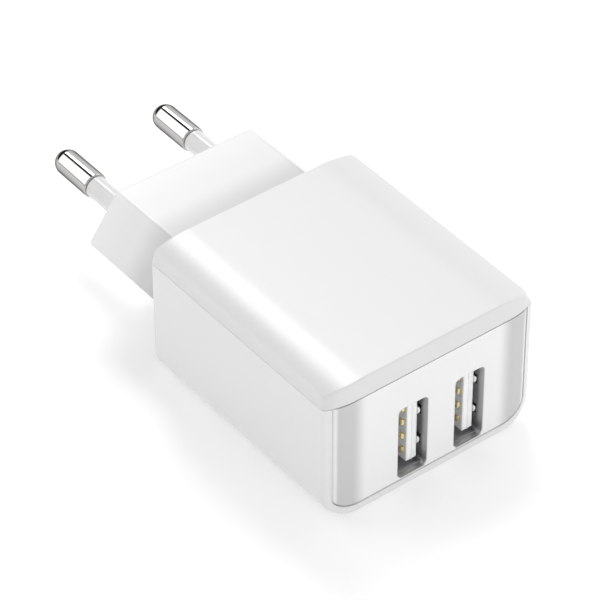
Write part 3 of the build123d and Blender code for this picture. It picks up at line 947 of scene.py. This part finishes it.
# ---- Plug -------------------------------------------------------------------
@dataclass
class PlugNose:
    """Hexagonal nose that carries the pins."""

    half_width: float = 17.4
    half_height: float = 7.1
    top_half: float = 12.2
    middle_z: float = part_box("pin_left")[0].z / MM + PIN_RADIUS
    start: float = BODY.length
    end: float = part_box("plug_nose")[1].y / MM - FRONT_Y
    top_round: float = 1.0
    side_round: float = 0.45
    end_round: float = 0.6
    wall: float = 1.8
    hole: float = 1.8
    hole_round: float = 0.1
    hole_steps: int = 40

    def build(self) -> Piece:
        """Build the nose and mount it.

        Returns:
            The piece.
        """
        bm = bmesh.new()
        inner = [(self.wall, self.start), (self.wall, self.end - self.wall)]
        outer = [(0.0, self.start)] + [(e, self.end - d) for e, d in reversed(quarter_turn(self.end_round, 6))]
        starts, inner_end = loft(bm, [self._ring(*place) for place in inner])
        more, outer_end = loft(bm, [self._ring(*place) for place in outer])
        bmesh.ops.bridge_loops(bm, edges=starts + more)
        for side in (-1, 1):
            first, last = loft(bm, self._hole_rings(side * PIN_HALF_PITCH))
            inner_end += first
            outer_end += last
        fill(bm, inner_end, -1)
        fill(bm, outer_end, 1)
        obj = finish_mesh("plug_nose_shell", bm, NOSE_PLASTIC_PAINTED_LIGHT_AND_SHADE)
        return stand_for(obj, "plug_nose")

    def _ring(self, inset: float, y: float) -> list[Point3]:
        """Rounded hexagon at one place along the nose.

        Args:
            inset: How far it moves inwards.
            y: Its place.

        Returns:
            The ring's points.
        """
        w, t, h = self.half_width, self.top_half, self.half_height
        corners = [(-t, -h), (t, -h), (w, 0.0), (t, h), (-t, h), (-w, 0.0)]
        radii = [self.top_round, self.top_round, self.side_round] * 2
        return [(x, y, self.middle_z + z) for x, z in rounded_polygon(corners, radii, inset)]

    def _hole_rings(self, x: float) -> list[list[Point3]]:
        """Rings of one pin hole through the end wall.

        Args:
            x: Centre of the hole.

        Returns:
            The rings.
        """
        rings = []
        for grow, depth in [(0.0, self.wall)] + list(reversed(quarter_turn(self.hole_round, 3))):
            circle = arc((x, self.middle_z), (self.hole + grow,) * 2, 0, 360, self.hole_steps)
            rings.append(upright(circle[:-1], self.end - depth))
        return rings


@dataclass
class TurnedPiece:
    """A piece turned about a pin's axis from a profile of (radius, y) points."""

    name: str
    node: str
    slot: str
    finish: Finish
    axis_x: float
    axis_z: float
    profile: list[Point2]
    steps: int = 64

    def build(self) -> Piece:
        """Spin the profile and mount the piece.

        Returns:
            The piece.
        """
        bm = bmesh.new()
        edges = loop_edges(bm, [(self.axis_x + r, y, self.axis_z) for r, y in self.profile], closed=False)
        verts = list({v for e in edges for v in e.verts})
        bmesh.ops.spin(
            bm, geom=verts + edges, cent=(self.axis_x, 0, self.axis_z), axis=Axis.Y.value,
            angle=math.tau, steps=self.steps, use_merge=True, use_duplicate=False,
        )
        clean(bm)
        obj = place_object(self.name, bm, self.finish, smooth_angle=28.0)
        return stand_for(obj, self.node)


@dataclass
class PlugPin:
    """Plated pin and its insulating sleeve."""

    side: Side
    metal: float = 9.0
    stem: float = 1.25
    edge_round: float = 0.2
    sleeve: float = 1.75
    bore_gap: float = 0.05
    end_gap: float = 0.03
    chamfer: Point2 = (0.1, 0.13)
    collar: Point2 = (1.0, 1.0)
    nose_wall: float = 2.0

    def build(self) -> list[Piece]:
        """Build both turned pieces.

        Returns:
            The pin and the sleeve.
        """
        low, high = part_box(f"pin_{self.side.value}")
        x, z = (low.x + high.x) / 2 / MM, (low.z + high.z) / 2 / MM
        end = TOTAL_END - FRONT_Y
        lines = self._pin_line(low.y / MM - FRONT_Y, end), self._sleeve_line(end - self.metal)
        kinds = (("pin", "plated", "nickel", NICKEL_PAINTED_DARK_RIMS), ("pin_sleeve", "moulded", "sleeve_plastic", SLEEVE_PLASTIC))
        pieces = []
        for (kind, make, slot, finish), line in zip(kinds, lines):
            node = f"{kind}_{self.side.value}"
            pieces.append(TurnedPiece(f"{node}_{make}", node, slot, finish, x, z, line).build())
        return pieces

    def _pin_line(self, inner: float, end: float) -> list[Point2]:
        """Profile of the pin.

        Args:
            inner: Where its stem starts.
            end: Where its tip ends.

        Returns:
            The (radius, y) points.
        """
        turn, shoulder = self.edge_round, end - self.metal
        line = [(0.0, inner), (self.stem - turn, inner), (self.stem, inner + turn), (self.stem, shoulder)]
        line += arc((PIN_RADIUS - turn, shoulder + turn), (turn, turn), -90, 0, 4)
        return line + arc((0, end - PIN_RADIUS), (PIN_RADIUS, PIN_RADIUS), 0, 90, 20)

    def _sleeve_line(self, shoulder: float) -> list[Point2]:
        """Profile of the sleeve, closed.

        Args:
            shoulder: Where the pin's full width starts.

        Returns:
            The (radius, y) points.
        """
        bore, outer = self.stem + self.bore_gap, self.sleeve + self.collar[0]
        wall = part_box("plug_nose")[1].y / MM - FRONT_Y - self.nose_wall
        end = shoulder - self.end_gap
        return [
            (bore, wall - self.collar[1]), (outer, wall - self.collar[1]), (outer, wall), (self.sleeve, wall),
            (self.sleeve, end - self.chamfer[1]), (self.sleeve - self.chamfer[0], end), (bore, end),
            (bore, wall - self.collar[1]),
        ]


# ---- USB ports --------------------------------------------------------------
@dataclass(frozen=True)
class Spring:
    """Sheet-metal strip cut to a flat outline and bent along a plan path, in millimetres.

    The outline is (distance along the strip, z). The path is (x, y) from root to tip, x from the port's centre.
    """

    outline: list[Point2]
    path: list[Point2]
    cuts: int
    sheet: float = 0.25

    def row(self, name: str, finish: Finish, centre: Point2, shifts: Iterable[float], mirror: float = 1.0) -> Piece:
        """Bend one strip for each height and join them.

        Args:
            name: Object name.
            finish: Their finish.
            centre: Port centre as (x, z).
            shifts: Heights of the strips from the port's centre.
            mirror: 1 or -1, to bend towards +X or -X.

        Returns:
            The object.
        """
        whole = bmesh.new()
        for shift in shifts:
            part = self._strip((centre[0], centre[1] + shift), mirror)
            holder = bpy.data.meshes.new("holder")
            part.to_mesh(holder)
            part.free()
            whole.from_mesh(holder)
            bpy.data.meshes.remove(holder)
        return place_object(name, whole, finish)

    def _strip(self, centre: Point2, mirror: float) -> Mesh:
        """Cut and bend one strip.

        Args:
            centre: Middle of the strip as (x, z).
            mirror: 1 or -1, to bend towards +X or -X.

        Returns:
            The mesh in millimetres.
        """
        bm = bmesh.new()
        fill(bm, loop_edges(bm, [(s, 0.0, z) for s, z in self.outline]), -1)
        length = max(s for s, _ in self.outline)
        slice_at(bm, Axis.X, [length * i / self.cuts for i in range(1, self.cuts)])
        spare = [e for e in bm.edges if not self._on_cut(e, length / self.cuts)]
        bmesh.ops.dissolve_limit(bm, angle_limit=math.radians(1), verts=[], edges=spare)
        for vert in bm.verts:
            x, y = self._along_path(vert.co.x / length)
            vert.co = (centre[0] + mirror * x, y, centre[1] + vert.co.z)
        bmesh.ops.recalc_face_normals(bm, faces=list(bm.faces))
        bmesh.ops.solidify(bm, geom=list(bm.faces), thickness=self.sheet)
        clean(bm)
        return bm

    @staticmethod
    def _on_cut(edge: bmesh.types.BMEdge, pitch: float) -> bool:
        """Whether an edge of the flat strip lies across it on a bending cut."""
        a, b = (vert.co.x for vert in edge.verts)
        return abs(a - b) < 1e-5 and abs(a / pitch - round(a / pitch)) < 1e-3

    def _along_path(self, share: float) -> Point2:
        """Place on the path, smoothed between its points.

        Args:
            share: Share of the path's length.

        Returns:
            The place as (x, y).
        """
        path = self.path
        runs = [math.dist(a, b) for a, b in zip(path, path[1:])]
        travel = share * sum(runs)
        for i, run in enumerate(runs):
            if travel <= run or i == len(runs) - 1:
                break
            travel -= run
        t = min(1.0, travel / runs[i])
        corners = path[max(0, i - 1)], path[i], path[i + 1], path[min(len(path) - 1, i + 2)]
        point = []
        for p0, p1, p2, p3 in zip(*corners):
            curve = 2 * p1 + (p2 - p0) * t + (2 * p0 - 5 * p1 + 4 * p2 - p3) * t**2
            point.append((curve + (3 * p1 - p0 - 3 * p2 + p3) * t**3) / 2)
        return tuple(point)


@dataclass
class UsbPort:
    """One receptacle: shell, retention tabs, tongue and contacts."""

    side: Side
    opening: Point2 = (5.12, 12.5)
    sheet: float = 0.3
    shell_radius: float = 0.85
    front: float = 0.85
    back: float = 15.1
    shell_edge: float = 0.05
    edge_angle: float = 50.0
    mouth: tuple[Point2, ...] = ((0.02, 0.8), (0.02, 0.14), (0.05, 0.1), (0.1, 0.1), (0.12, 0.14), (0.12, 0.8))
    tab_z: float = 2.75
    tab_half: float = 0.75
    tab_straight: float = 5.2
    tab_path: tuple[Point2, ...] = (
        (0.0, 7.6), (-0.08, 6.8), (-0.42, 4.0), (-0.5, 3.2), (-0.48, 2.3), (-0.42, 1.86), (-0.12, 1.64),
    )
    window: tuple[float, float, float] = (1.45, 7.65, 1.66)
    tongue: Point2 = (1.84, 11.1)
    tongue_front: float = 1.35
    tongue_rounds: Point2 = (0.2, 0.05)
    crease_angle: float = 30.0
    base_front: float = 9.0
    base_gap: Point2 = (0.1, 0.01)
    base_radius: float = 0.5
    contact_z: tuple[float, ...] = (-3.825, -1.275, 1.275, 3.825)
    wiper: tuple[Point2, ...] = ((0.0, -0.5), (6.2, -0.5), (6.6, -0.4), (6.6, 0.4), (6.2, 0.5), (0.0, 0.5))
    wiper_path: tuple[Point2, ...] = (
        (0.75, 8.55), (0.6, 7.6), (-0.25, 4.4), (-0.42, 3.7), (-0.4, 3.2), (-0.15, 2.6), (0.28, 2.25),
    )
    groove: tuple[float, float, float] = (1.3, 1.1, 1.95)
    mould_line: Point2 = (0.95, 0.08)

    @property
    def centre(self) -> Point2:
        """Centre of the port as (x, z)."""
        return PORT_CENTRES[self.side]

    def build(self) -> list[Piece]:
        """Build the receptacle's pieces.

        Returns:
            The pieces.
        """
        pieces = [self._shell(), self._flange(), self._tongue(), self._contacts()]
        return pieces + [self._tabs("a", -1.0), self._tabs("b", 1.0)]

    def _shell(self) -> Piece:
        """Build the folded shell, with windows round its tabs.

        Returns:
            The piece.
        """
        z = self.centre[1]
        bm = bmesh.new()
        outer = (self.opening[0] + 2 * self.sheet, self.opening[1] + 2 * self.sheet)
        outline = rounded_rectangle(self.centre, outer, self.shell_radius)
        loft(bm, [upright(outline, y) for y in (self.front, self.back)])
        slice_at(bm, Axis.Y, self.window[:2])
        slice_at(bm, Axis.Z, [z + s * self.tab_z + t * self.window[2] / 2 for s in (-1, 1) for t in (-1, 1)])
        bmesh.ops.delete(bm, geom=[f for f in bm.faces if self._in_window(f)], context="FACES")
        bmesh.ops.recalc_face_normals(bm, faces=list(bm.faces))
        obj = place_object(f"usb_shell_{self.side.value}_folded", bm, PORT_STEEL_PAINTED_SHADE)
        if self._points_in(obj):
            obj.data.flip_normals()
        thick = obj.modifiers.new("sheet", "SOLIDIFY")
        thick.thickness = self.sheet * MM
        thick.offset = -1.0
        edge = obj.modifiers.new("edge", "BEVEL")
        edge.width = self.shell_edge * MM
        edge.segments = 2
        edge.limit_method = "ANGLE"
        edge.angle_limit = math.radians(self.edge_angle)
        return stand_for(obj, f"usb_shell_{self.side.value}")

    def _flange(self) -> Piece:
        """Build the turned-out mouth of the shell, which lines the slot.

        Returns:
            The piece.
        """
        bm = bmesh.new()
        first, last = loft(bm, [upright(FrontPanel().slot_outline(self.centre, e), y) for e, y in self.mouth])
        bmesh.ops.bridge_loops(bm, edges=first + last)
        obj = finish_mesh(f"usb_shell_{self.side.value}_mouth", bm, PORT_MOUTH)
        return stand_for(obj, f"usb_shell_{self.side.value}")

    def _points_in(self, obj: Piece) -> bool:
        """Whether the tube's faces look at its own axis."""
        wall = max(obj.data.polygons, key=lambda p: p.center.x)
        return (wall.center.x - self.centre[0] * MM) * wall.normal.x < 0

    def _in_window(self, face: Face) -> bool:
        """Whether a face of the tube is cut away round a tab.

        Args:
            face: A face of the tube.

        Returns:
            True where it is cut away.
        """
        c = face.calc_center_median()
        on_wall = abs(c.x - self.centre[0]) > self.opening[0] / 2
        level = abs(abs(c.z - self.centre[1]) - self.tab_z) < self.window[2] / 2
        return on_wall and level and self.window[0] < c.y < self.window[1]

    def _tabs(self, tag: str, mirror: float) -> Piece:
        """Build the two sprung tabs in one wide wall.

        Args:
            tag: Which wall.
            mirror: -1 for the left wall, 1 for the right.

        Returns:
            The piece.
        """
        wall = self.opening[0] / 2 + self.sheet / 2
        half, root = self.tab_half, self.tab_straight
        outline = [(0.0, -half), (root, -half)] + arc((root, 0.0), (half, half), -80, 80, 10)
        spring = Spring(outline + [(root, half), (0.0, half)], [(wall + x, y) for x, y in self.tab_path], 24)
        name = f"shell_springs_{self.side.value}_{tag}"
        obj = spring.row(f"{name}_tabs", TAB_STEEL, self.centre, (-self.tab_z, self.tab_z), mirror)
        return stand_for(obj, name, body=name)

    def _contacts(self) -> Piece:
        """Build the four bowed wipers.

        Returns:
            The piece.
        """
        name = f"usb_contacts_{self.side.value}"
        spring = Spring(list(self.wiper), list(self.wiper_path), 26)
        obj = spring.row(f"{name}_wipers", GOLD, self.centre, self.contact_z)
        return stand_for(obj, name, body=f"contacts_{self.side.value}")

    def _tongue(self) -> Piece:
        """Build the tongue with its contact grooves, ridged front and base block.

        Returns:
            The piece.
        """
        x, z = self.centre
        (thick, tall), (line, sunk) = self.tongue, self.mould_line
        bm = bmesh.new()
        front = [(x, z - tall / 2), (x + thick, z - tall / 2), (x + thick, z + tall / 2), (x, z + tall / 2)]
        self._block(bm, front, self.tongue_front, self.back)
        slice_at(bm, Axis.Z, [z + c + s * self.groove[0] / 2 for c in self.contact_z for s in (-1, 1)])
        slice_at(bm, Axis.Y, [self.groove[2], self.base_front])
        slice_at(bm, Axis.X, [x + line, x + line + sunk])
        extrude_by(bm, [f for f in bm.faces if self._is_mould_line(f)], (0, sunk, 0))
        extrude_by(bm, [f for f in bm.faces if self._is_groove(f)], (self.groove[1], 0, 0))
        size = [side - self.base_gap[0] for side in self.opening]
        base = rounded_rectangle(self.centre, size, self.base_radius)
        self._block(bm, base, self.base_front, self.back - self.base_gap[1])
        clean(bm)
        self._weigh_edges(bm)
        obj = place_object(f"usb_tongue_{self.side.value}_moulded", bm, INSULATOR_PAINTED_GLOW)
        bevel = obj.modifiers.new("rounding", "BEVEL")
        bevel.limit_method = "WEIGHT"
        bevel.width = self.tongue_rounds[0] * MM
        bevel.segments = 3
        bevel.profile = 0.5
        bevel.use_clamp_overlap = False
        bevel.harden_normals = False
        keep_flats(obj)
        return stand_for(obj, f"usb_tongue_{self.side.value}")

    @staticmethod
    def _block(bm: Mesh, outline: list[Point2], start: float, end: float) -> None:
        """Add a block with an upright outline, as a part of the same moulding.

        Args:
            bm: Mesh that takes it.
            outline: Its outline as (x, z).
            start: Where it starts along Y.
            end: Where it ends along Y.
        """
        extrude_by(bm, cap(bm, loop_edges(bm, upright(outline, start))), (0, end - start, 0), keep=True)

    def _weigh_edges(self, bm: Mesh) -> None:
        """Store each edge's rounding for the bevel: large at the tongue's front, small elsewhere.

        Args:
            bm: The tongue's mesh.
        """
        layer = bm.edges.layers.float.new("bevel_weight_edge")
        large, small = self.tongue_rounds
        for edge in bm.edges:
            if len(edge.link_faces) == 2 and math.degrees(edge.calc_face_angle(0.0)) >= self.crease_angle:
                middle = (edge.verts[0].co.y + edge.verts[1].co.y) / 2
                edge[layer] = 1.0 if middle < self.tongue_front + small else small / large

    def _is_groove(self, face: Face) -> bool:
        """Whether a face of the tongue's contact side is the floor of a groove.

        Args:
            face: A face of the tongue.

        Returns:
            True for a groove's floor.
        """
        x, z = self.centre
        c = face.calc_center_median()
        on_side = abs(c.x - x) < 0.01 and self.groove[2] < c.y < self.base_front
        return on_side and any(abs(c.z - z - level) < self.groove[0] / 2 for level in self.contact_z)

    def _is_mould_line(self, face: Face) -> bool:
        """Whether a face is the thin sunk line up the tongue's front.

        Args:
            face: A face of the tongue.

        Returns:
            True for the line.
        """
        c = face.calc_center_median()
        start = self.centre[0] + self.mould_line[0]
        return abs(c.y - self.tongue_front) < 1e-3 and start < c.x < start + self.mould_line[1]


# ---- Circuit parts inside ---------------------------------------------------
@dataclass
class Circuit:
    """Finishes of the CAD nodes that stay as they are."""

    finishes: dict[str, Finish] = field(default_factory=lambda: {
        "pin_lead_left": TIN, "pin_lead_right": TIN,
        "usb_tails_left": GOLD, "usb_tails_right": GOLD,
        "usb_board": BOARD, "main_board": BOARD,
        "header_block": BLACK, "header_pins": GOLD,
        "transformer_core": FERRITE, "transformer_bobbin": BLACK,
        "transformer_winding": TAPE, "transformer_pins": TIN,
        "input_capacitors": CAN_SLEEVE, "output_capacitors": CAN_SLEEVE,
        "fuse_resistor": RESISTOR, "input_choke": FERRITE, "y_capacitor": DISC,
        "bridge_rectifier": BLACK, "controller_ic": BLACK, "rectifier_diode": BLACK,
        "port_controllers": BLACK, "insulation_sheet": BARRIER,
    })

    def dress(self) -> None:
        """Give each carried-over node its finish."""
        for node, finish in self.finishes.items():
            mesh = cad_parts[node].data
            mesh.materials.clear()
            mesh.materials.append(finish.material())
            log.info("%s: %s", node, finish.name)


# ---- Studio -----------------------------------------------------------------
@dataclass(frozen=True)
class Softbox:
    """A rectangular area light aimed at a point."""

    name: str
    place: Point3
    aim: Point3
    size: Point2
    power: float

    def build(self) -> Piece:
        """Make the light.

        Returns:
            The light object.
        """
        data = bpy.data.lights.new(self.name, "AREA")
        data.shape = "RECTANGLE"
        data.size, data.size_y = self.size
        data.energy = self.power
        light = bpy.data.objects.new(self.name, data)
        bpy.context.scene.collection.objects.link(light)
        light.location = self.place
        way = Vector(self.aim) - Vector(self.place)
        light.rotation_euler = way.to_track_quat("-Z", "Y").to_euler()
        return light


@dataclass
class Studio:
    """Pale floor, soft light and the camera."""

    azimuth: float = -37.69
    elevation: float = 40.72
    roll: float = -0.1
    distance: float = 0.4935
    aim: Point3 = (-0.0081, FRONT_Y * MM + 0.0195, 0.0225)
    lens: float = 214.3
    sensor: float = 36.0
    clip: Point2 = (0.01, 20.0)
    floor_half: float = 1.2
    sky_level: float = 0.70
    sky_slope: Point3 = (0.22, -0.10, -0.17)
    card: tuple[Point2, ...] = ((0.8, 1.0), (0.84, 0.05))
    brightest: float = 12.0
    hoop_lean: float = 0.6
    hoop_edge: tuple[Point2, ...] = ((0.14, 1.0), (0.2, 0.0))
    hoop: tuple[Point2, ...] = (
        (-180.0, 1.35), (-12.0, 1.35), (54.0, 1.1), (60.0, 8.0), (74.0, 8.0), (75.0, 0.02), (94.0, 0.02),
        (96.0, 2.0), (174.0, 2.0), (177.0, 0.1), (180.0, 0.1),
    )
    lit_point: Point3 = (0.0, -0.01, 0.01)
    boxes: tuple[tuple[str, Point3, Point2, float], ...] = (
        ("key", (0.58, 0.06, 0.38), (0.4, 0.4), 0.75),
        ("left fill", (-0.50, -0.04, 0.26), (0.3, 0.2), 0.22),
        ("front fill", (0.10, -0.62, 0.13), (0.26, 0.14), 0.4),
    )

    def build(self) -> None:
        """Set the whole stage."""
        self._camera()
        self._floor()
        self._world()
        for name, place, size, power in self.boxes:
            Softbox(name, place, self.lit_point, size, power).build()

    def _camera(self) -> None:
        """Place the camera."""
        a, e = math.radians(self.azimuth), math.radians(self.elevation)
        back = Vector((math.sin(a) * math.cos(e), -math.cos(a) * math.cos(e), math.sin(e)))
        data = bpy.data.cameras.new("camera")
        data.lens = self.lens
        data.sensor_width = self.sensor
        data.clip_start, data.clip_end = self.clip
        camera = bpy.data.objects.new("camera", data)
        bpy.context.scene.collection.objects.link(camera)
        camera.location = Vector(self.aim) + back * self.distance
        turn = (-back).to_track_quat("-Z", "Y").to_matrix().to_4x4()
        camera.rotation_euler = (turn @ Matrix.Rotation(math.radians(self.roll), 4, "Z")).to_euler()
        bpy.context.scene.camera = camera

    def _floor(self) -> None:
        """Lay the floor the charger rests on."""
        bm = bmesh.new()
        bmesh.ops.create_grid(bm, x_segments=1, y_segments=1, size=self.floor_half / MM)
        bmesh.ops.translate(bm, vec=(0, -FRONT_Y, 0), verts=list(bm.verts))
        place_object("floor", bm, FLOOR)

    def _world(self) -> None:
        """Even surroundings, brighter to one side, with a hoop of soft boxes and a dark card behind."""
        world = bpy.data.worlds.new("surroundings")
        world.use_nodes = True
        tree = world.node_tree
        way = tree.nodes.new("ShaderNodeTexCoord").outputs["Generated"]
        parts = tree.nodes.new("ShaderNodeSeparateXYZ")
        tree.links.new(way, parts.inputs["Vector"])
        across, along, up = parts.outputs
        turn = maths(tree, "MULTIPLY_ADD", maths(tree, "ARCTAN2", up, across), 1 / math.tau, 0.5)
        hoop = grey_ramp(tree, turn, [((angle + 180) / 360, level / self.brightest) for angle, level in self.hoop])
        off = maths(tree, "ABSOLUTE", maths(tree, "SUBTRACT", along, self.hoop_lean))
        mix = tree.nodes.new("ShaderNodeMix")
        for socket, value in (
            ("Factor", grey_ramp(tree, off, self.hoop_edge)),
            ("A", maths(tree, "ADD", dot(tree, way, self.sky_slope), self.sky_level)),
            ("B", maths(tree, "MULTIPLY", hoop, self.brightest)),
        ):
            tree.links.new(value, mix.inputs[socket])
        level = maths(tree, "MULTIPLY", mix.outputs["Result"], grey_ramp(tree, along, self.card))
        background = tree.nodes["Background"]
        background.inputs["Color"].default_value = (1, 1, 1, 1)
        tree.links.new(level, background.inputs["Strength"])
        bpy.context.scene.world = world
        bpy.context.scene.view_settings.view_transform = "Standard"


def main() -> None:
    """Build the studio and the charger."""
    Studio().build()
    pieces = [BottomHousing().build(), TopCover().build(), FrontPanel().build(), PlugNose().build()]
    for side in Side:
        pieces += PlugPin(side).build()
        pieces += UsbPort(side).build()
    Circuit().dress()
    log.info("%d pieces", len(pieces))


if __name__ == "__main__":
    main()
